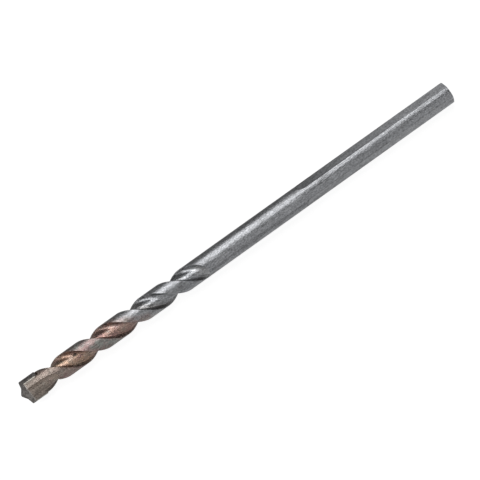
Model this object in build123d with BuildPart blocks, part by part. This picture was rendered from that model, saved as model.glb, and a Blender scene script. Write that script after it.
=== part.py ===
from build123d import *

import math
import os

# Overall sizes, in millimetres. X runs along the bit, from the shank's end face to the tip, and Z is up.
overall_length = 101.6
head_d = 5.1
plate_proud = 0.25

# How the bit is turned as it lies on its round belly, with both corners of the plate clear of the floor
plate_turn_deg = 153.0

# Shank: the rounded end and the three ground flats, each left by a wheel that lifts off at its front end
end_round = 0.16
flat_count = 3
flat_length = 33.7
flat_distance = 1.98
flat_from_plate_deg = -5.7
flat_wheel_r = 6.0

# Flutes: a straight gash behind each lip fades into the right-handed helix, which ends in its own run-out
flute_count = 2
flute_lead = 18.9
head_straight = 4.9
gash_wheel_r = 7.0
gash_lift = 1.15
flute_length = 44.0
run_out_length = 3.6
run_out_lift = 0.95
heel_lift_ratio = 2.2
run_out_steps = 6
flute_from_plate_deg = 25.9

# Section of one flute, as angles from a land's leading edge and radii from the bit's axis
gap_deg = 104.0
foot_deg = 11.5
ridge_deg = 75.0
valley_deg = 94.4
shelf_deg = 103.4
foot_r = 1.48
floor_r = 1.41
ridge_r = 1.29
valley_r = 1.41
shelf_r = 1.8
foot_fillet = 0.14

# Carbide plate: its outline, the relief behind the lips and the centring point
plate_thickness = 1.4
plate_length = 4.63
lip_set_back = 0.5
lip_slope = 0.203
relief_slope = 0.325
corner_r = 0.18
rear_chamfer = 0.3
point_w = 0.28
point_t = 0.2
point_height = 0.7
point_base_w = 1.94

# Slot, braze and the steel's front end. A bead of braze stands beside each proud edge of the plate.
tip_to_steel = 1.65
front_round = 0.12
braze_gap = 0.06
slot_clearance = 0.38
braze_rear_w = 3.0
bead_height = 0.19
bead_width = 0.26
bead_hollow = 0.03

head_r = head_d / 2
body_r = head_r - plate_proud
steel_length = overall_length - tip_to_steel
helix_front = overall_length - head_straight
helix_rear = overall_length - flute_length + run_out_length
plate_rear = overall_length - plate_length
slot_floor = plate_rear - slot_clearance
slot_width = plate_thickness + 2 * braze_gap
cutter_r = 2 * body_r
head_turn_deg = plate_turn_deg + flute_from_plate_deg
first_flat_deg = plate_turn_deg + flat_from_plate_deg
gash_lift_deg = math.degrees(math.acos(1 - gash_lift / gash_wheel_r))


def polar(radius, angle):
    return Vector(radius * math.cos(math.radians(angle)), radius * math.sin(math.radians(angle)))


def across(angle):
    """The direction across the bit at an angle from +Y towards +Z."""
    return Vector(0, math.cos(math.radians(angle)), math.sin(math.radians(angle)))


def beyond(inner, edge):
    """The point on the line from inner through edge that lies well outside the rod."""
    return edge + (edge - inner).normalized() * (cutter_r - body_r)


def flute_turn(x):
    """The angle of the first land's leading edge at x, along the helix."""
    return head_turn_deg - (helix_front - x) * 360 / flute_lead


def flute_section(x, turn, lift=0.0):
    """The section of one flute at x, closed outside the rod. The cutter lifts out of the heel side first."""
    foot, floor, ridge, valley, shelf = (
        polar(radius + lift * (1 + (heel_lift_ratio - 1) * angle / gap_deg), angle)
        for radius, angle in ((foot_r, foot_deg), (floor_r, (foot_deg + ridge_deg) / 2), (ridge_r, ridge_deg),
                              (valley_r, valley_deg), (shelf_r, shelf_deg)))
    outer_lead = beyond(polar(foot_r, foot_deg), polar(body_r, 0))
    outer_heel = beyond(polar(shelf_r, shelf_deg), polar(body_r, gap_deg))
    with BuildSketch(Plane(origin=(x, 0, 0), x_dir=across(turn), z_dir=(1, 0, 0))) as section:
        with BuildLine():
            Line(outer_lead, foot)
            ThreePointArc(foot, floor, ridge)
            ThreePointArc(ridge, valley, shelf)
            Line(shelf, outer_heel)
            ThreePointArc(outer_heel, polar(cutter_r, gap_deg / 2), outer_lead)
        make_face()
        fillet(section.vertices().sort_by_distance(foot)[0], foot_fillet)
    return section.sketch


plate_way = across(plate_turn_deg)
turning_way = across(plate_turn_deg + 90)

os.makedirs("parts", exist_ok=True)

with BuildPart() as fluted_rod:
    with BuildSketch(Plane.YZ):
        Circle(body_r)
    extrude(amount=steel_length)
    fillet(fluted_rod.edges().sort_by(Axis.X)[0], end_round)
    fillet(fluted_rod.edges().sort_by(Axis.X)[-1], front_round)
    for i in range(flute_count):
        turn = i * 360 / flute_count
        with BuildLine():
            helix = Helix(flute_lead, helix_front - helix_rear, floor_r, center=(helix_rear, 0, 0),
                          direction=(1, 0, 0))
        sweep(flute_section(helix_rear, flute_turn(helix_rear) + turn), path=helix, is_frenet=True,
              mode=Mode.SUBTRACT)
        stations = []
        for k in range(run_out_steps + 1):
            share = k / run_out_steps
            x = helix_rear - share * run_out_length
            stations.append(flute_section(x, flute_turn(x) + turn, run_out_lift * share ** 2))
        loft(stations, mode=Mode.SUBTRACT)
        gash_turn = flute_turn(helix_front) + turn
        wheel_plane = Plane(origin=(0, 0, 0), x_dir=(-1, 0, 0), z_dir=-across(gash_turn + gap_deg / 2 + 90))
        with BuildLine(wheel_plane) as wheel_path:
            Line((-overall_length, 0), (-helix_front, 0))
            JernArc((-helix_front, 0), (1, 0), gash_wheel_r, gash_lift_deg)
        sweep(flute_section(overall_length, gash_turn), path=wheel_path.wire(), mode=Mode.SUBTRACT)
    for i in range(flat_count):
        normal_deg = first_flat_deg + i * 360 / flat_count
        with BuildSketch(Plane(origin=(0, 0, 0), x_dir=(1, 0, 0), z_dir=across(normal_deg + 90))):
            with Locations((0, flat_distance)):
                Rectangle(2 * flat_length, flat_wheel_r, align=(Align.CENTER, Align.MIN))
            with Locations((flat_length, flat_distance + flat_wheel_r)):
                Circle(flat_wheel_r)
        extrude(amount=body_r, both=True, mode=Mode.SUBTRACT)

# The steel is one bar: the shank, the flutes and the slot are all cut in it.
with BuildPart() as drill_body:
    add(fluted_rod.part)
    with BuildSketch(Plane(origin=(slot_floor, 0, 0), x_dir=plate_way, z_dir=(1, 0, 0))):
        Rectangle(2 * head_d, slot_width)
    extrude(amount=steel_length, mode=Mode.SUBTRACT)
drill_body.part.label = "drill_body"

# The plate is as wide as the hole it drills. Each half of its roof leads on the face that meets the work.
with BuildPart() as carbide_tip:
    with BuildSketch(Plane(origin=(plate_rear, 0, 0), x_dir=plate_way, z_dir=-turning_way)) as outline:
        Rectangle(head_d, plate_length, align=(Align.CENTER, Align.MIN))
        chamfer(outline.vertices().group_by(Axis.Y)[0], rear_chamfer)
    extrude(amount=plate_thickness / 2, both=True)
    with BuildSketch(Plane.YZ.offset(plate_rear)):
        Circle(head_r)
    extrude(amount=plate_length, mode=Mode.INTERSECT)
    for side in (1, -1):
        lip = Vector(overall_length - lip_set_back, 0, 0) + turning_way * side * plate_thickness / 2
        away = Vector(1, 0, 0) + plate_way * side * lip_slope - turning_way * side * relief_slope
        split(bisect_by=Plane(origin=lip, z_dir=away), keep=Keep.BOTTOM)
    fillet(carbide_tip.edges().filter_by(GeomType.ELLIPSE).group_by(Axis.X)[-1], corner_r)
    base_x = overall_length - point_height
    foot_x = base_x - point_height
    point_spread = point_base_w - point_w
    for near, far in ((overall_length, base_x), (base_x, foot_x)):
        with BuildSketch(Plane(origin=(near, 0, 0), x_dir=plate_way, z_dir=(1, 0, 0))) as upper:
            depth = (overall_length - near) / point_height
            Rectangle(point_w + depth * point_spread, point_t + depth * (plate_thickness - point_t))
        with BuildSketch(Plane(origin=(far, 0, 0), x_dir=plate_way, z_dir=(1, 0, 0))) as lower:
            depth = (overall_length - far) / point_height
            Rectangle(point_w + depth * point_spread, plate_thickness)
        loft(ruled=True)
carbide_tip.part.label = "carbide_tip"

with BuildPart() as braze_beads:
    face = plate_thickness / 2
    corner = Vector(math.sqrt(body_r ** 2 - face ** 2), face)
    top = corner + Vector(bead_height, 0)
    toe = polar(body_r, math.degrees(math.asin(face / body_r) + bead_width / body_r))
    hollow = (top + toe) / 2 - (top + toe).normalized() * bead_hollow
    under = polar(body_r - bead_height, math.degrees(math.asin(face / body_r)))
    for end in (1, -1):
        for side in (1, -1):
            line = [Vector(point.X, point.Y * side) for point in (top, hollow, toe, under)]
            with BuildSketch(Plane(origin=(plate_rear + rear_chamfer, 0, 0), x_dir=plate_way * end,
                                   z_dir=(1, 0, 0))):
                with BuildLine():
                    ThreePointArc(line[0], line[1], line[2])
                    Polyline(line[2], line[3], line[0])
                make_face()
            extrude(amount=steel_length - front_round - plate_rear - rear_chamfer)
    add(fluted_rod.part, mode=Mode.SUBTRACT)
    add(carbide_tip.part, mode=Mode.SUBTRACT)

# The braze is what fills the slot beside the plate, and behind it as far as the filler ran.
with BuildPart() as braze_joint:
    add(fluted_rod.part)
    with BuildSketch(Plane(origin=(slot_floor, 0, 0), x_dir=plate_way, z_dir=(1, 0, 0))):
        Rectangle(2 * head_d, slot_width)
    extrude(amount=steel_length, mode=Mode.INTERSECT)
    add(carbide_tip.part, mode=Mode.SUBTRACT)
    with BuildSketch(Plane(origin=(slot_floor, 0, 0), x_dir=plate_way, z_dir=(1, 0, 0))):
        Rectangle(2 * head_d, slot_width)
        Rectangle(braze_rear_w, slot_width, mode=Mode.SUBTRACT)
    extrude(amount=slot_clearance + rear_chamfer, mode=Mode.SUBTRACT)
    add(braze_beads.part)
braze_joint.part.label = "braze_joint"

export_step(drill_body.part, "parts/drill_body.step")
export_step(carbide_tip.part, "parts/carbide_tip.step")
export_step(braze_joint.part, "parts/braze_joint.step")
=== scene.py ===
import math

import bpy
from mathutils import Matrix, Vector


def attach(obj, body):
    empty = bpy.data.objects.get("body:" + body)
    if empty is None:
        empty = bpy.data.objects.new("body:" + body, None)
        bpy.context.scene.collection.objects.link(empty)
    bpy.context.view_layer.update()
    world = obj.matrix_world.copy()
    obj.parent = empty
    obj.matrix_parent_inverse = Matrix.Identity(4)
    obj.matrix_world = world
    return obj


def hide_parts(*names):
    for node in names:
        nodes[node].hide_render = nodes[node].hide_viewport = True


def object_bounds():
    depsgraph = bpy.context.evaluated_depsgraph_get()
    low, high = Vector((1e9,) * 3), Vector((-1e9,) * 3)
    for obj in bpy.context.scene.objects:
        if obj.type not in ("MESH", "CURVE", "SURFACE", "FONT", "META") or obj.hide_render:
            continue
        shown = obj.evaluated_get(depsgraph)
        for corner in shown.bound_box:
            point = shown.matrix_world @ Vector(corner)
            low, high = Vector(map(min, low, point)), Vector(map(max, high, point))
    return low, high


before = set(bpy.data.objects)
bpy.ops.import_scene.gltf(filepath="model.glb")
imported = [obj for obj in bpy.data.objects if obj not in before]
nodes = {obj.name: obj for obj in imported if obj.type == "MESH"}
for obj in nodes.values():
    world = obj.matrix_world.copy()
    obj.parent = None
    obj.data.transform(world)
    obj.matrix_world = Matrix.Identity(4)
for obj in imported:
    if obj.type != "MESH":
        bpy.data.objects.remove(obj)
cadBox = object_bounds()
mm = 0.001
degrees = math.degrees(1.0)           # in a radian


class Wire:
    # an output socket: sums on it add the Math nodes
    def __init__(self, board, socket):
        self.board = board
        self.socket = socket

    def math(self, operation, *values, clamp=False):
        return self.board.add("ShaderNodeMath", {"operation": operation, "use_clamp": clamp},
                              dict(enumerate(values)))

    def __add__(self, other):
        return self.math("ADD", self, other)

    def __radd__(self, other):
        return self.math("ADD", other, self)

    def __sub__(self, other):
        return self.math("SUBTRACT", self, other)

    def __rsub__(self, other):
        return self.math("SUBTRACT", other, self)

    def __mul__(self, other):
        return self.math("MULTIPLY", self, other)

    def __rmul__(self, other):
        return self.math("MULTIPLY", other, self)

    def __truediv__(self, other):
        return self.math("DIVIDE", self, other)

    def __rtruediv__(self, other):
        return self.math("DIVIDE", other, self)

    def __neg__(self):
        return self.math("MULTIPLY", self, -1.0)


class Board:
    # one node tree: add() puts a node on it and returns one of its outputs, or several as a list
    def __init__(self, tree):
        self.tree = tree

    def add(self, kind, settings=None, sockets=None, out=0):
        node = self.tree.nodes.new(kind)
        for name, value in (settings or {}).items():
            if name == "stops":
                self.fill(node.color_ramp, value)
            else:
                setattr(node, name, value)
        for name, value in (sockets or {}).items():
            for item in value if isinstance(value, list) else [value]:
                if isinstance(item, Wire):
                    self.tree.links.new(item.socket, node.inputs[name])
                else:
                    node.inputs[name].default_value = item
        if isinstance(out, tuple):
            return [Wire(self, node.outputs[name]) for name in out]
        return Wire(self, node.outputs[out]) if len(node.outputs) else None

    def fill(self, ramp, stops):
        while len(ramp.elements) < len(stops):
            ramp.elements.new(0.5)
        for element, (at, colour) in zip(ramp.elements, stops):
            element.position = at
            element.color = (*colour, 1)

    def split(self, vector):
        return self.add("ShaderNodeSeparateXYZ", None, {0: vector}, out=("X", "Y", "Z"))


def newMaterial(name):
    material = bpy.data.materials.new(name)
    material.use_nodes = True
    material.node_tree.nodes.clear()
    return material, Board(material.node_tree)


def aboutX(angle):
    return Vector((0.0, math.cos(math.radians(angle)), math.sin(math.radians(angle))))


class Place:
    # where a point of the metal is, in mm: the place itself, its coordinates and how far it is from the axis
    def __init__(self, board):
        self.board = board
        self.spot = board.add("ShaderNodeVectorMath", {"operation": "SCALE"},
                              {0: board.add("ShaderNodeTexCoord", out="Object"), "Scale": 1 / mm})
        self.x, self.y, self.z = board.split(self.spot)
        self.radius = self.x.math("SQRT", self.y * self.y + self.z * self.z)

    def towards(self, angle):
        way = aboutX(angle)
        return self.y * way.y + self.z * way.z

    def fromLand(self):
        # degrees from the nearest land's leading edge, round the twist
        turn = self.x.math("ARCTAN2", self.z, self.y) * degrees
        behind = self.x.math("MAXIMUM", drillBody["Helix Front"] - self.x, 0.0)
        headTurn = drillBody["Plate Turn"] + drillBody["Flute Turn"]
        lead = headTurn - behind * (360 / drillBody["Flute Lead"])
        return turn.math("FLOORED_MODULO", turn - lead, 360 / drillBody["Flute Count"])

    def noise(self, kind):
        scale, stretch, detail, roughness = kind
        spot = self.board.add("ShaderNodeVectorMath", {"operation": "MULTIPLY"}, {0: self.spot, 1: stretch})
        return self.board.add("ShaderNodeTexNoise", None,
                              {"Vector": spot, "Scale": scale, "Detail": detail, "Roughness": roughness})


def rise(board, value, low, high):
    return board.add("ShaderNodeMapRange", {"interpolation_type": "SMOOTHSTEP"},
                     {"Value": value, "From Min": low, "From Max": high})


def blend(board, factor, first, second, kind="MIX"):
    # the Mix node's colours are its sockets 6 and 7, and the mixed colour is its output 2
    first, second = ((*c, 1) if isinstance(c, tuple) else c for c in (first, second))
    return board.add("ShaderNodeMix", {"data_type": "RGBA", "blend_type": kind},
                     {0: factor, 6: first, 7: second}, out=2)


def finished(board, colour, roughness, height, depth):
    # depth: how deep in mm the relief is between a height of 0 and of 1
    relief = board.add("ShaderNodeBump", None, {"Strength": 1.0, "Distance": depth * mm, "Height": height})
    shader = board.add("ShaderNodeBsdfPrincipled", None, {
        "Base Color": colour, "Metallic": 1.0, "Roughness": roughness, "Normal": relief})
    board.add("ShaderNodeOutputMaterial", None, {"Surface": shader})


# steel: ground and worn bright on the shank, and tinted by the heat of brazing towards the head
bareSteel = (0.475, 0.485, 0.505)
steelFinish = {
    # bare worn metal for the flakes, and painted light where the flutes run out and a painted highlight on
    # the front edge
    "wornAndHighlight": (0.66, 0.65, 0.63),
    "paintedStepLight": (0.58, 0.46, 0.39),     # pale tint, painted light over the heel's shaded step in the head
    # soot for the film and the pits, and painted shade at the flutes' leading walls and heels and along the
    # flats' rims
    "sootAndShade": (0.060, 0.052, 0.046),
    "reddish": (0.43, 0.26, 0.255),
    "olive": (0.33, 0.34, 0.30),
    "landTints": [                    # mm along the bit, colour
        (70.0, bareSteel), (74.6, (0.50, 0.505, 0.52)), (75.8, (0.51, 0.49, 0.49)),
        (77.4, (0.49, 0.40, 0.38)), (81.5, (0.51, 0.42, 0.395)), (84.5, (0.44, 0.455, 0.43)),
        (86.5, (0.47, 0.37, 0.345)), (91.0, (0.47, 0.365, 0.32)), (94.0, (0.44, 0.36, 0.315)),
        (98.0, (0.34, 0.295, 0.26)), (102.0, (0.34, 0.295, 0.26))],
    "grooveTints": [
        (70.0, bareSteel), (73.5, (0.47, 0.45, 0.44)), (76.0, (0.52, 0.40, 0.36)),
        (80.0, (0.57, 0.37, 0.31)), (85.0, (0.52, 0.335, 0.29)), (90.0, (0.60, 0.405, 0.295)),
        (94.5, (0.47, 0.39, 0.325)), (102.0, (0.47, 0.40, 0.35))],
    "tintWander": 2.6,                # mm that the tints wander along the bit
    "tintLeanAndHighlight": 1.6,                  # mm that they lean back for each mm across it, towards the lit upper flank: a real lean of the tints, and a painted highlight that leaves that flank paler
    "shade": (0.44, 1.30),            # the darkest and the brightest speck
    "roughness": (0.27, 0.46),        # the smoothest and the roughest speck
    "grainDepth": 0.044,              # mm
    "pits": [(88.7, 0.55, 0.36, 0.24), (80.6, 1.88, 0.32, 0.22)],    # along, across, length and width, mm
    "noise": {                        # scale per mm, stretch, detail, roughness
        "lumps": (0.45, (1.0, 1.0, 1.0), 4.0, 0.55),
        "blush": (0.62, (0.8, 1.2, 1.2), 4.0, 0.55),
        "patches": (0.9, (1.0, 1.3, 1.3), 3.0, 0.55),
        "grain": (4.6, (0.65, 1.0, 1.0), 4.0, 0.75),
        "streaks": (1.9, (0.10, 1.7, 1.7), 4.0, 0.65),
        "haze": (0.8, (0.35, 1.0, 1.0), 5.0, 0.55),
        "flakes": (1.5, (0.5, 1.2, 1.2), 5.0, 0.7),
    },
    "milling": {                      # lines along the flutes: how their noise is spread, and its kind
        "perMm": 0.10, "degreesEach": 14.0, "outwards": 0.5,
        "scale": 1.6, "detail": 4.0, "roughness": 0.7,
    },
    "zones": {                        # where each thing begins and where it is full
        "fluted": (57.0, 60.0),       # mm along the bit
        "tinted": (73.0, 78.0),
        "heated": (74.0, 77.0),
        "cooler": (93.0, 97.0),
        "head": (91.0, 94.0),
        "footEnd": (96.6, 98.0),
        "roughHead": (95.0, 98.0),
        "frontEdge": (99.62, 99.80),
        "runOutStart": (56.5, 57.5),
        "runOutEnd": (59.0, 61.5),
        "flatEdgeStart": (9.0, 18.0),
        "flatEnd": (36.0, 39.0),
        "endFace": (0.01, 0.06),
        "groove": (1.95, 2.26),       # mm from the axis
        "fluteWall": (2.16, 2.27),
        "runOutWall": (2.22, 2.29),
        "flatRim": (2.18, 2.25),
        "flatRound": (2.28, 2.30),
        "flat": (2.26, 2.295),
        "footTop": (0.3, 1.6),        # degrees from a land's leading edge
        "footFloor": (5.0, 9.5),
        "heel": (98.5, 101.0),
        "step": (90.0, 96.0),
        "facing": (0.2, 0.5),         # mm towards the side that the pits are on
        "reddish": (0.50, 0.64),      # level of the noise
        "olive": (0.34, 0.48),
        "speck": (0.32, 0.70),
        "film": (0.50, 0.72),
        "flake": (0.60, 0.68),
        "pit": (0.5, 1.6),
    },
    "shares": {                       # how much of each finish covers the metal where it is full
        "reddish": 0.60,
        "olive": 0.35,
        "film": 0.25,
        "filmInFlute": 0.12,          # added to the film's
        # painted shade on the flutes' leading walls and heels
        "foot": 0.45,
        "footShadeTinted": 0.20,           # added to the foot's
        "heel": 0.25,
        # painted light over the heel's shaded step and the flutes' run-out, and a painted highlight on the
        # front edge
        "step": 0.40,
        "runOutPaintedLight": 0.30,
        "frontHighlight": 0.25,
        "frontHighlightLumps": 0.4,              # added to the rim's
        # painted shade along the flats' rims
        "flatRimShade": 0.45,
        "flake": 0.40,
        "pit": 0.85,
    },
    "shading": {"streaks": 0.9, "milled": 1.5},          # how much they lighten and darken the metal
    "ragged": {"foot": 3.0, "frontHighlight": 0.3, "pit": 0.8},     # how far noise moves these edges
    "rougher": {                      # shares of the way from smoothest to roughest, and what is added
        "everywhere": 0.35, "film": 0.4,
        "pit": 0.2, "head": 0.16, "flute": -0.12,
    },
    "relief": {                       # heights, where the grain's own is 1
        "tintedGrain": 0.8,           # added to the grain's
        "milled": 1.2,
        "rings": 0.25,
        "streaks": 0.6,
        "streaksOnFlat": 0.8,         # added to the streaks'
        "pits": -3.0,
    },
    "ringPitch": 42.0,                # of the turned rings, radians per mm
}
pictureTurn = 181.5                   # the angle about X of the picture's upper left flank


def steelMaterial():
    material, board = newMaterial("drillSteel")
    at = Place(board)
    look = steelFinish
    share = look["shares"]
    ragged = look["ragged"]

    def noise(name):
        return at.noise(look["noise"][name])

    def zone(value, name):
        return rise(board, value, *look["zones"][name])

    def outside(value, name):
        return 1.0 - zone(value, name)

    def tints(stops):
        low, high = stops[0][0], stops[-1][0]
        return board.add("ShaderNodeValToRGB", {"stops": [((x - low) / (high - low), c) for x, c in stops]},
                         {0: (at.x + wander - low) / (high - low)})

    # heat tints, in the flutes and on the lands: the noise that moves them is about 0 on the whole
    lumps = noise("lumps")
    patches = noise("patches")
    blush = noise("blush")
    across = at.towards(pictureTurn)
    # the lean towards the lit upper flank also paints that flank paler: painted highlight
    wander = (lumps * 2.0 + patches - 1.5) * look["tintWander"] - across * look["tintLeanAndHighlight"]
    fluted = zone(at.x, "fluted")
    alongFlute = outside(at.radius, "groove") * fluted
    tinted = zone(at.x, "tinted")
    heated = zone(at.x + wander, "heated") * outside(at.x, "cooler")
    colour = blend(board, alongFlute, tints(look["landTints"]), tints(look["grooveTints"]))
    colour = blend(board, zone(blush, "reddish") * heated * share["reddish"], colour, look["reddish"])
    colour = blend(board, outside(blush, "olive") * heated * share["olive"], colour, look["olive"])

    # specks, streaks drawn along the rod, milling lines along the flutes, and a grey film
    grain = noise("grain")
    streaks = noise("streaks") - 0.5
    fromLand = at.fromLand()
    lines = look["milling"]
    milled = board.add("ShaderNodeTexNoise", None, {
        "Vector": board.add("ShaderNodeCombineXYZ", None, {
            0: at.x * lines["perMm"], 1: fromLand / lines["degreesEach"], 2: at.radius * lines["outwards"]}),
        "Scale": lines["scale"], "Detail": lines["detail"], "Roughness": lines["roughness"]}) - 0.5
    dark, bright = look["shade"]
    shading = look["shading"]
    shade = dark + zone(grain, "speck") * (bright - dark) \
        + streaks * shading["streaks"] * (1.0 - alongFlute) + milled * shading["milled"] * alongFlute
    colour = blend(board, 1.0, colour, shade, "MULTIPLY")
    film = zone(noise("haze"), "film")
    colour = blend(board, film * (share["film"] + alongFlute * share["filmInFlute"]), colour, look["sootAndShade"])

    # painted shade on the flutes' leading walls and heels, and painted light over the heel's shaded step in
    # the head
    inFlute = outside(at.radius, "fluteWall") * fluted
    inHead = zone(at.x, "head")
    # painted shade along each flute's leading wall and its foot
    foot = zone(fromLand, "footTop") * outside(fromLand + (patches - 0.5) * ragged["foot"], "footFloor")
    foot = foot * inFlute * outside(at.x, "footEnd")
    # painted shade on each flute's heel wall, behind the head
    heel = zone(fromLand, "heel") * inFlute * (1.0 - inHead)
    # painted light over the heel's step in the head, which is in shade
    step = zone(fromLand, "step") * inFlute * inHead
    colour = blend(board, foot * (share["foot"] + tinted * share["footShadeTinted"]), colour, look["sootAndShade"])
    colour = blend(board, heel * share["heel"], colour, look["sootAndShade"])
    colour = blend(board, step * share["step"], colour, look["paintedStepLight"])

    # painted light over the shaded wall where the flutes run out, a painted highlight along the front edge,
    # painted shade along the flats' rims, and bare worn flakes
    runOutPaintedLight = outside(at.radius, "runOutWall") * zone(at.x, "runOutStart") * outside(at.x, "runOutEnd")
    colour = blend(board, runOutPaintedLight * share["runOutPaintedLight"], colour, look["wornAndHighlight"])
    # painted highlight along the steel's rounded front edge
    frontHighlight = zone(at.x + (grain - 0.5) * ragged["frontHighlight"], "frontEdge")
    colour = blend(board, frontHighlight * (share["frontHighlight"] + lumps * share["frontHighlightLumps"]), colour, look["wornAndHighlight"])
    onShank = outside(at.x, "flatEnd")
    # painted shade: a dark line along the flats' rims
    flatRimShade = zone(at.radius, "flatRim") * outside(at.radius, "flatRound") * zone(at.x, "flatEdgeStart")
    colour = blend(board, flatRimShade * onShank * share["flatRimShade"], colour, look["sootAndShade"])
    colour = blend(board, zone(noise("flakes"), "flake") * share["flake"], colour, look["wornAndHighlight"])

    # pits, sooty inside
    facing = zone(at.towards(pictureTurn - 90), "facing")
    hollow = 0.0
    for x, u, long, wide in look["pits"]:
        dx = (at.x - x) / long
        du = (across - u) / wide
        pit = outside(dx * dx + du * du + (grain - 0.5) * ragged["pit"], "pit") * facing
        colour = blend(board, pit * share["pit"], colour, look["sootAndShade"])
        hollow = pit + hollow

    low, high = look["roughness"]
    rougher = look["rougher"]
    roughest = rougher["everywhere"] + (grain - 0.5) + (lumps - 0.5) + film * rougher["film"]
    rough = low + (high - low) * roughest + hollow * rougher["pit"]
    rough = rough + zone(at.x, "roughHead") * rougher["head"] + alongFlute * rougher["flute"]

    # turned rings on the end face, grinding lines on the flats, fine grain everywhere
    relief = look["relief"]
    rings = at.radius.math("SINE", at.radius * look["ringPitch"]) * outside(at.x, "endFace")
    onFlat = outside(at.radius, "flat") * onShank
    height = grain * (1.0 + tinted * relief["tintedGrain"]) + milled * alongFlute * relief["milled"] \
        + rings * relief["rings"] + streaks * (relief["streaks"] + onFlat * relief["streaksOnFlat"]) \
        + hollow * relief["pits"]
    finished(board, colour, rough, height, look["grainDepth"])
    return material


# carbide: sintered, matt and granular
carbideFinish = {
    "colour": (0.44, 0.415, 0.395),
    "dark": (0.20, 0.185, 0.175),
    "darkTo": (0.35, 0.75),           # level of the noise at which it is dark, and at which it has its colour
    "grain": (4.2, (1.0, 1.0, 1.0), 5.0, 0.75),               # scale per mm, stretch, detail, roughness
    "blotch": (1.3, (1.0, 1.0, 1.0), 3.0, 0.55),
    "roughness": 0.42,
    "roughnessSpread": 0.3,
    "grainDepth": 0.024,              # mm
}


def carbideMaterial():
    material, board = newMaterial("sinteredCarbide")
    at = Place(board)
    look = carbideFinish
    grain = at.noise(look["grain"])
    blotch = at.noise(look["blotch"])
    colour = blend(board, rise(board, grain + (blotch - 0.5), *look["darkTo"]), look["dark"], look["colour"])
    rough = look["roughness"] + (grain - 0.5) * look["roughnessSpread"]
    finished(board, colour, rough, grain, look["grainDepth"])
    return material


# braze: a silvery bead that has run and set, dulled by flux, with painted shade at its toe
brazeFinish = {
    "colour": (0.72, 0.68, 0.61),
    "fluxAndShade": (0.15, 0.13, 0.115),
    "fluxShare": 0.8,
    "fluxLevel": (0.48, 0.70),        # level of the noise at which flux begins, and at which it is full
    "cleanFrom": (97.0, 97.5),        # mm along the bit: there is flux all over what is behind
    "cleanAbove": (2.33, 2.40),       # mm from the axis: flux, and painted shade where the bead meets the steel, are left at the bead's toe
    "runs": (1.6, (0.5, 1.0, 1.0), 3.0, 0.55),                # scale per mm, stretch, detail, roughness
    "grain": (5.0, (1.0, 1.0, 1.0), 3.0, 0.55),
    "grainInFlux": 0.5,
    "grainRelief": 0.3,
    "roughness": 0.34,
    "fluxRoughness": 0.25,            # added to it
    "runDepth": 0.02,                 # mm
}


def brazeMaterial():
    material, board = newMaterial("brazeFiller")
    at = Place(board)
    look = brazeFinish
    runs = at.noise(look["runs"])
    grain = at.noise(look["grain"])
    fluxAndToeShade = rise(board, runs + (grain - 0.5) * look["grainInFlux"], *look["fluxLevel"])
    fluxAndToeShade = fluxAndToeShade.math("MAXIMUM", fluxAndToeShade, 1.0 - rise(board, at.x, *look["cleanFrom"]))
    # painted shade at the bead's toe, where it meets the steel, with the flux there
    fluxAndToeShade = fluxAndToeShade.math("MAXIMUM", fluxAndToeShade, 1.0 - rise(board, at.radius, *look["cleanAbove"]))
    colour = blend(board, fluxAndToeShade * look["fluxShare"], look["colour"], look["fluxAndShade"])
    rough = look["roughness"] + fluxAndToeShade * look["fluxRoughness"]
    finished(board, colour, rough, runs + grain * look["grainRelief"], look["runDepth"])
    return material


# drill body: a rod with two twisted flutes, a gash behind each lip, the shank's flats and the plate's slot
drillBody = {                         # sizes in mm, angles in degrees
    "Rod Radius": 2.3,
    "Rod Length": 99.95,
    "End Rounding": 0.16,
    "Front Rounding": 0.12,
    "Plate Turn": 153.0,              # how the bit is turned about X as it lies
    "Flute Count": 2,
    "Flute Lead": 18.9,
    "Flute Turn": 25.9,               # from the plate to a land's leading edge
    "Helix Front": 96.7,
    "Helix Rear": 61.2,
    "Run-out Length": 3.6,
    "Run-out Lift": 0.95,
    "Heel Lift Ratio": 2.2,
    "Gap Angle": 104.0,
    "Foot Angle": 11.5,
    "Ridge Angle": 75.0,
    "Valley Angle": 94.4,
    "Shelf Angle": 103.4,
    "Foot Radius": 1.48,
    "Floor Radius": 1.41,
    "Ridge Radius": 1.29,
    "Valley Radius": 1.41,
    "Shelf Radius": 1.8,
    "Foot Fillet": 0.12,
    "Gash Wheel": 7.0,
    "Gash Lift": 1.15,
    "Flat Count": 3,
    "Flat Turn": -5.7,                # from the plate to the first flat
    "Flat Length": 33.7,
    "Flat Distance": 1.98,
    "Flat Wheel": 6.0,
    "Slot Floor": 96.59,
    "Slot Width": 1.52,
}
fineness = {
    "rodSides": 192,
    "rodRings": 112,
    "endRings": 6,                    # of those, how many round each end
    "fluteRings": 240,
    "gashRings": 44,
    "arcPoints": 14,                  # along the flute's floor
    "shortArcPoints": 8,              # along its other arcs
    "filletPoints": 5,
    "wheelPoints": 40,
    "sharpAngle": 24,                 # degrees of fold at which an edge stays sharp
    "outlineGap": 0.0004,             # mm within which an outline's ends are joined
    "meshGap": 0.0005,                # mm within which points of the finished body are joined
}
fluteBeyond = 2.0                     # mm that a flute cutter reaches past the steel's front end
gashBeyond = 0.02                     # mm that a gash cutter reaches into the straight part of the flute
flatBeyond = 2.0                      # mm that a flat cutter reaches past the shank's end
slotBeyond = 1.0                      # mm that the slot cutter reaches past the steel's front end
floorDip = 0.004                      # mm that the flute's outline is deeper where the fillet ends
liftedShare = 1.2                     # of the rod's radius: what is nearer the axis is lifted in the run-out


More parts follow.
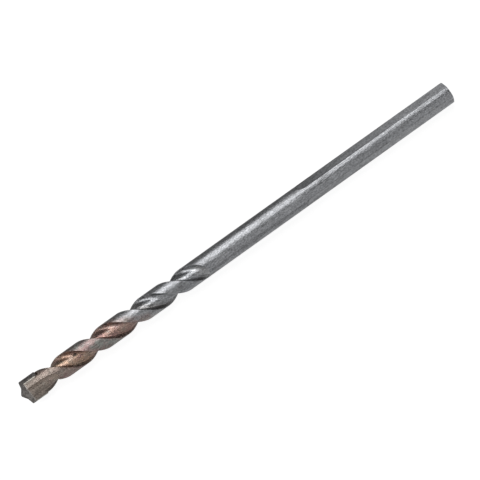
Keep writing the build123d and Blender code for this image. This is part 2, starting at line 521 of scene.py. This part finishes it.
def drillBodyTree():
    tree = bpy.data.node_groups.new("flutedDrillBody", "GeometryNodeTree")
    for name, value in drillBody.items():
        kind = "NodeSocketInt" if isinstance(value, int) else "NodeSocketFloat"
        tree.interface.new_socket(name=name, in_out="INPUT", socket_type=kind).default_value = value
    tree.interface.new_socket(name="Finish", in_out="INPUT", socket_type="NodeSocketMaterial")
    tree.interface.new_socket(name="Geometry", in_out="OUTPUT", socket_type="NodeSocketGeometry")
    board = Board(tree)
    names = (*drillBody, "Finish")
    size = dict(zip(names, board.add("NodeGroupInput", out=names)))

    def vector(x, y, z=0.0):
        return board.add("ShaderNodeCombineXYZ", None, {0: x, 1: y, 2: z})

    def along(operation, *values):
        return board.add("ShaderNodeVectorMath", {"operation": operation}, dict(enumerate(values)))

    def scaled(direction, by):
        return board.add("ShaderNodeVectorMath", {"operation": "SCALE"}, {0: direction, "Scale": by})

    def radians(angle):
        return angle.math("RADIANS", angle)

    def cos(angle):
        return angle.math("COSINE", angle)

    def sin(angle):
        return angle.math("SINE", angle)

    def polar(radius, angle):
        turn = radians(angle)
        return vector(radius * cos(turn), radius * sin(turn))

    def beyond(inner, edge):
        away = along("NORMALIZE", along("SUBTRACT", edge, inner))
        return along("ADD", edge, scaled(away, size["Rod Radius"]))

    def arc(start, middle, end, points):
        return board.add("GeometryNodeCurveArc", {"mode": "POINTS"},
                         {"Resolution": points, "Start": start, "Middle": middle, "End": end})

    def line(start, end):
        return board.add("GeometryNodeCurvePrimitiveLine", None, {"Start": start, "End": end})

    def loop(*curves):
        # curves that meet end to end, made one closed outline
        wires = board.add("GeometryNodeCurveToMesh", None, {
            "Curve": board.add("GeometryNodeJoinGeometry", None, {"Geometry": list(curves)})})
        whole = board.add("GeometryNodeMergeByDistance", None,
                          {"Geometry": wires, "Distance": fineness["outlineGap"]})
        return board.add("GeometryNodeMeshToCurve", None, {"Mesh": whole})

    def sweep(outline, start, end, rings):
        # an outline carried along a straight line, its ends filled
        path = board.add("GeometryNodeResampleCurve", None, {"Curve": line(start, end), "Count": rings})
        upright = board.add("GeometryNodeSetCurveNormal", {"mode": "Z_UP"}, {"Curve": path})
        return board.add("GeometryNodeCurveToMesh", None,
                         {"Curve": upright, "Profile Curve": outline, "Fill Caps": True})

    def place():
        return board.split(board.add("GeometryNodeInputPosition"))

    def moved(mesh, position):
        return board.add("GeometryNodeSetPosition", None, {"Geometry": mesh, "Position": position})

    def ring(mesh, count, first):
        # copies of a cutter, evenly turned about X
        step = board.add("GeometryNodeInputIndex") * math.tau / count
        points = board.add("GeometryNodePoints", None, {"Count": count})
        turn = board.add("FunctionNodeEulerToRotation", None, {0: vector(step + radians(first), 0.0)})
        copies = board.add("GeometryNodeInstanceOnPoints", None,
                           {"Points": points, "Instance": mesh, "Rotation": turn})
        return board.add("GeometryNodeRealizeInstances", None, {"Geometry": copies})

    # rod, still straight to its ends
    rodRadius = size["Rod Radius"]
    farOut = rodRadius * 2.0          # well outside the rod
    circle = board.add("GeometryNodeCurvePrimitiveCircle", None,
                       {"Resolution": fineness["rodSides"], "Radius": rodRadius})
    rod = sweep(circle, vector(0.0, 0.0), vector(size["Rod Length"], 0.0), fineness["rodRings"])

    # one flute's outline: leading wall, rounded foot, two hollows with a ridge between, heel
    foot = polar(size["Foot Radius"], size["Foot Angle"])
    ridge = polar(size["Ridge Radius"], size["Ridge Angle"])
    shelf = polar(size["Shelf Radius"], size["Shelf Angle"])
    outerLead = beyond(foot, vector(rodRadius, 0.0))
    outerHeel = beyond(shelf, polar(rodRadius, size["Gap Angle"]))
    upWall = along("NORMALIZE", along("SUBTRACT", outerLead, foot))
    onWall = along("ADD", foot, scaled(upWall, size["Foot Fillet"]))
    floor = polar(size["Floor Radius"], (size["Foot Angle"] + size["Ridge Angle"]) * 0.5)
    span = size["Foot Fillet"] / size["Foot Radius"] * degrees
    onFloor = polar(size["Foot Radius"] - floorDip, size["Foot Angle"] + span)
    valley = polar(size["Valley Radius"], size["Valley Angle"])
    outline = loop(
        line(outerLead, onWall),
        board.add("GeometryNodeCurveQuadraticBezier", None, {
            "Resolution": fineness["filletPoints"], "Start": onWall, "Middle": foot, "End": onFloor}),
        arc(onFloor, floor, ridge, fineness["arcPoints"]),
        arc(ridge, valley, shelf, fineness["shortArcPoints"]),
        line(shelf, outerHeel),
        arc(outerHeel, polar(farOut, size["Gap Angle"] * 0.5), outerLead, fineness["shortArcPoints"]))
    # reversed, so that the cutters face outwards
    outline = board.add("GeometryNodeReverseCurve", None, {"Curve": outline})

    # flute cutter: straight in the head, twisted behind it, lifted out heel first at its rear end
    rear = size["Helix Rear"] - size["Run-out Length"]
    blank = sweep(outline, vector(rear, 0.0), vector(size["Rod Length"] + fluteBeyond, 0.0),
                  fineness["fluteRings"])
    x, y, z = place()
    behind = x.math("MAXIMUM", size["Helix Front"] - x, 0.0)
    share = x.math("MAXIMUM", size["Helix Rear"] - x, 0.0) / size["Run-out Length"]
    radius = x.math("SQRT", y * y + z * z)
    angle = x.math("ARCTAN2", -z, -y)
    inner = x.math("LESS_THAN", radius, rodRadius * liftedShare)
    heelward = 1.0 + (size["Heel Lift Ratio"] - 1.0) * angle / radians(size["Gap Angle"])
    lifted = radius + inner * size["Run-out Lift"] * share * share * heelward
    turned = angle - behind * math.tau / size["Flute Lead"]
    fluteCutter = moved(blank, vector(x, lifted * cos(turned), lifted * sin(turned)))
    headTurn = size["Plate Turn"] + size["Flute Turn"]
    flutes = ring(fluteCutter, size["Flute Count"], headTurn)

    # gash cutter: the same outline, bent up round the wheel behind the head
    wheel = size["Gash Wheel"]
    reach = wheel * size["Gash Lift"].math("ARCCOSINE", 1.0 - size["Gash Lift"] / wheel)
    blank = sweep(outline, vector(size["Helix Front"] - reach, 0.0),
                  vector(size["Helix Front"] + gashBeyond, 0.0), fineness["gashRings"])
    x, y, z = place()
    half = radians(size["Gap Angle"] * 0.5)
    out = -y * cos(half) - z * sin(half)
    side = y * sin(half) - z * cos(half)
    bend = x.math("MAXIMUM", size["Helix Front"] - x, 0.0) / wheel
    ahead = x.math("MAXIMUM", x - size["Helix Front"], 0.0)
    bentX = size["Helix Front"] + ahead - (wheel - out) * sin(bend)
    bentOut = wheel - (wheel - out) * cos(bend)
    bentY = bentOut * cos(half) - side * sin(half)
    bentZ = bentOut * sin(half) + side * cos(half)
    gashCutter = moved(blank, vector(bentX, bentY, bentZ))
    gashes = ring(gashCutter, size["Flute Count"], headTurn)

    # flat cutter: level along the shank, and round at its front end as the wheel leaves it
    level = size["Flat Distance"]
    top = level + size["Flat Wheel"]
    long = size["Flat Length"]
    halfWay = size["Flat Wheel"] * math.cos(math.radians(45))
    front = long + size["Flat Wheel"]
    outline = loop(
        line(vector(-flatBeyond, level), vector(long, level)),
        arc(vector(long, level), vector(long + halfWay, top - halfWay), vector(front, top),
            fineness["wheelPoints"]),
        line(vector(front, top), vector(-flatBeyond, top)),
        line(vector(-flatBeyond, top), vector(-flatBeyond, level)))
    wide = rodRadius * 1.5
    blank = sweep(outline, vector(-wide, 0.0), vector(wide, 0.0), 2)
    x, y, z = place()
    flats = ring(moved(blank, vector(-y, -z, x)), size["Flat Count"], size["Plate Turn"] + size["Flat Turn"])

    # the rod's rings are gathered and drawn in at its rounded ends
    x, y, z = place()
    last = fineness["rodRings"] - 1
    endRings = fineness["endRings"]
    number = x / size["Rod Length"] * last
    back = number.math("DIVIDE", number, endRings, clamp=True)
    front = number.math("DIVIDE", last - number, endRings, clamp=True)
    between = number.math("DIVIDE", number - endRings, last - 2 * endRings, clamp=True)
    backRound = size["End Rounding"]
    frontRound = size["Front Rounding"]
    quarter = math.pi / 2
    newX = backRound * (1.0 - cos(back * quarter)) + frontRound * cos(front * quarter) \
        + (size["Rod Length"] - backRound - frontRound) * between
    drawnIn = backRound * (1.0 - sin(back * quarter)) + frontRound * (1.0 - sin(front * quarter))
    narrower = 1.0 - drawnIn / rodRadius
    rod = moved(rod, vector(newX, y * narrower, z * narrower))

    # slot for the plate
    slotLength = size["Rod Length"] - size["Slot Floor"] + slotBeyond
    slot = board.add("GeometryNodeMeshCube", None,
                     {"Size": vector(slotLength, farOut * 2.0, size["Slot Width"])})
    slot = board.add("GeometryNodeTransform", None, {
        "Geometry": slot, "Translation": vector(size["Slot Floor"] + slotLength * 0.5, 0.0),
        "Rotation": vector(radians(size["Plate Turn"]), 0.0)})

    cut = board.add("GeometryNodeMeshBoolean", {"operation": "DIFFERENCE", "solver": "MANIFOLD"},
                    {0: rod, 1: [flutes, gashes, flats, slot]})
    clean = board.add("GeometryNodeMergeByDistance", None,
                      {"Geometry": cut, "Distance": fineness["meshGap"]})
    smooth = board.add("GeometryNodeSetShadeSmooth", None, {"Geometry": clean})
    folded = board.add("GeometryNodeInputMeshEdgeAngle")
    sharp = folded.math("GREATER_THAN", folded, math.radians(fineness["sharpAngle"]))
    edged = board.add("GeometryNodeSetShadeSmooth", {"domain": "EDGE"},
                      {"Geometry": smooth, "Selection": sharp, "Shade Smooth": False})
    metres = board.add("GeometryNodeTransform", None, {"Geometry": edged, "Scale": (mm, mm, mm)})
    real = board.add("GeometryNodeRealizeInstances", None, {"Geometry": metres})
    done = board.add("GeometryNodeSetMaterial", None, {"Geometry": real, "Material": size["Finish"]})
    board.add("NodeGroupOutput", None, {"Geometry": done})
    return tree


steel = steelMaterial()
carbide = carbideMaterial()
braze = brazeMaterial()
for name, material in (("carbide_tip", carbide), ("braze_joint", braze)):
    nodes[name].data.materials.clear()
    nodes[name].data.materials.append(material)
print("materials done")


def madePlain(name, tree, sizes, finish):
    # the tree's result as a plain mesh of its own
    former = bpy.data.objects.new(name + "Former", bpy.data.meshes.new(name + "Former"))
    bpy.context.scene.collection.objects.link(former)
    rule = former.modifiers.new("shape", "NODES")
    rule.node_group = tree
    for item in tree.interface.items_tree:
        if item.in_out == "INPUT":
            rule[item.identifier] = sizes[item.name] if item.name in sizes else finish
    mesh = bpy.data.meshes.new_from_object(former.evaluated_get(bpy.context.evaluated_depsgraph_get()))
    former.modifiers.remove(rule)
    bpy.data.objects.remove(former)
    mesh.name = name
    piece = bpy.data.objects.new(name, mesh)
    bpy.context.scene.collection.objects.link(piece)
    return piece


fluted = madePlain("flutedBody", drillBodyTree(), drillBody, steel)
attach(fluted, "root")
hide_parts("drill_body")
print("drill body done:", len(fluted.data.polygons), "faces")

# camera: where the photograph was taken from, as turns of the picture and of the bit under it
photo = {
    "target": (49.98, 0.0, 0.0),      # the point of the axis that the frame is set by, mm
    "distance": 354.4,                # from there to the lens, mm
    "focal": 137.25,                  # mm
    "tipNearer": 4.0,                 # how far the bit leans towards the lens, degrees
    "slant": 35.50,                   # how far the bit slants in the picture, degrees
    "place": (239.807, 239.678),      # where the target shows, in pixels of the frame
    "frame": 480,                     # its width and height, pixels
    "sensor": 36,                     # mm
}
flankWay = aboutX(pictureTurn)
faceWay = aboutX(pictureTurn - 90)
tipWay = Vector((1, 0, 0))
lean = math.radians(photo["tipNearer"])
slant = math.radians(photo["slant"])
toLens = tipWay * math.sin(lean) + faceWay * math.cos(lean)
alongPicture = faceWay * math.sin(lean) - tipWay * math.cos(lean)
right = alongPicture * math.cos(slant) - flankWay * math.sin(slant)
up = alongPicture * math.sin(slant) + flankWay * math.cos(slant)
target = Vector(photo["target"]) * mm

camera = bpy.data.objects.new("camera", bpy.data.cameras.new("camera"))
bpy.context.scene.collection.objects.link(camera)
camera.data.lens = photo["focal"]
camera.data.sensor_width = photo["sensor"]
camera.data.clip_start = 0.01         # m
middle = (photo["frame"] - 1) / 2     # counted in pixels from the first one's centre
camera.data.shift_x = (middle - photo["place"][0]) / photo["frame"]
camera.data.shift_y = (photo["place"][1] - middle) / photo["frame"]
camera.matrix_world = (Matrix.Translation(target + toLens * photo["distance"] * mm)
                       @ Matrix((right, up, toLens)).transposed().to_4x4())
bpy.context.scene.camera = camera

# floor and light
studio = {
    "floorReach": 3.0,                # m from the middle to an edge
    "floorColour": (0.80, 0.80, 0.80, 1),
    "floorGlowInMetal": (0.17, 0.58, 0.40),     # glow that the metal reflects: beyond the bit, on its near side, and more beside the shank; a painted reflection
    "floorAcross": (-8, 12),          # mm across the bit between its far and its near side
    "floorAlong": (0, 42),            # mm along the bit, from the shank's end to where the shank's share ends
    "floorPale": (0.3, 0.3, 0.3, 1),  # what the camera sees of the floor: its light and shadow on this
    "floorGlow": 0.88,                # and this glow
    "lamps": {
        "softbox": {"angle": 48, "along": 260, "distance": 500, "width": 880, "height": 460, "level": 2.2},
        "fill": {"angle": 130, "along": 300, "distance": 600, "width": 2000, "height": 900, "level": 0.43},
    },
    "worldLevel": 0.07,
}
floorMesh = bpy.data.meshes.new("floor")
reach = studio["floorReach"]
low = cadBox[0].z
corners = [(-reach, -reach, low), (reach, -reach, low), (reach, reach, low), (-reach, reach, low)]
floorMesh.from_pydata(corners, [], [(0, 1, 2, 3)])
floor = bpy.data.objects.new("floor", floorMesh)
bpy.context.scene.collection.objects.link(floor)
material, board = newMaterial("studioFloor")
seen, mirrored = board.add("ShaderNodeLightPath", out=("Is Camera Ray", "Is Glossy Ray"))
paper = board.add("ShaderNodeBsdfDiffuse", None, {"Color": studio["floorColour"]})
pale = board.add("ShaderNodeBsdfDiffuse", None, {"Color": studio["floorPale"]})
glow = board.add("ShaderNodeEmission", None, {"Color": (1, 1, 1, 1), "Strength": studio["floorGlow"]})
spot = board.add("ShaderNodeTexCoord", out="Object")
lengthways, sideways = board.add("ShaderNodeSeparateXYZ", None, {0: spot}, out=("X", "Y"))
beyondBit, nearBit, byShank = studio["floorGlowInMetal"]
nearSide = rise(board, sideways, *(y * mm for y in studio["floorAcross"]))
shankEnd = 1.0 - rise(board, lengthways, *(x * mm for x in studio["floorAlong"]))
# the metal sees the floor as a glow, stronger on the bit's near side and beside the shank: painted reflection
paintedReflectionGlow = beyondBit + (nearBit - beyondBit) * nearSide + byShank * shankEnd * (1.0 - nearSide)
dim = board.add("ShaderNodeEmission", None, {"Color": (1, 1, 1, 1), "Strength": paintedReflectionGlow})
inMetal = board.add("ShaderNodeMixShader", None, {0: mirrored, 1: paper, 2: dim})
inView = board.add("ShaderNodeAddShader", None, {0: pale, 1: glow})
board.add("ShaderNodeOutputMaterial", None, {
    "Surface": board.add("ShaderNodeMixShader", None, {0: seen, 1: inMetal, 2: inView})})
floorMesh.materials.append(material)

world = bpy.data.worlds.new("studioWorld")
world.use_nodes = True
bpy.context.scene.world = world
world.node_tree.nodes.clear()
board = Board(world.node_tree)
seen = board.add("ShaderNodeLightPath", out="Is Camera Ray")
level = studio["worldLevel"] + (1.0 - studio["worldLevel"]) * seen
board.add("ShaderNodeOutputWorld", None, {
    "Surface": board.add("ShaderNodeBackground", None, {"Color": (1, 1, 1, 1), "Strength": level})})

for name, box in studio["lamps"].items():
    lamp = bpy.data.objects.new(name, bpy.data.lights.new(name, "AREA"))
    lamp.data.shape = "RECTANGLE"
    lamp.data.size = box["width"] * mm
    lamp.data.size_y = box["height"] * mm
    lamp.data.energy = box["level"] * math.pi * lamp.data.size * lamp.data.size_y
    towards = aboutX(pictureTurn - box["angle"])
    place = target + (towards * box["distance"] + tipWay * box["along"]) * mm
    lamp.matrix_world = (Matrix.Translation(place)
                         @ Matrix((tipWay, towards.cross(tipWay), towards)).transposed().to_4x4())
    bpy.context.scene.collection.objects.link(lamp)
bpy.context.scene.view_settings.view_transform = "Standard"
print("camera, floor and light done")
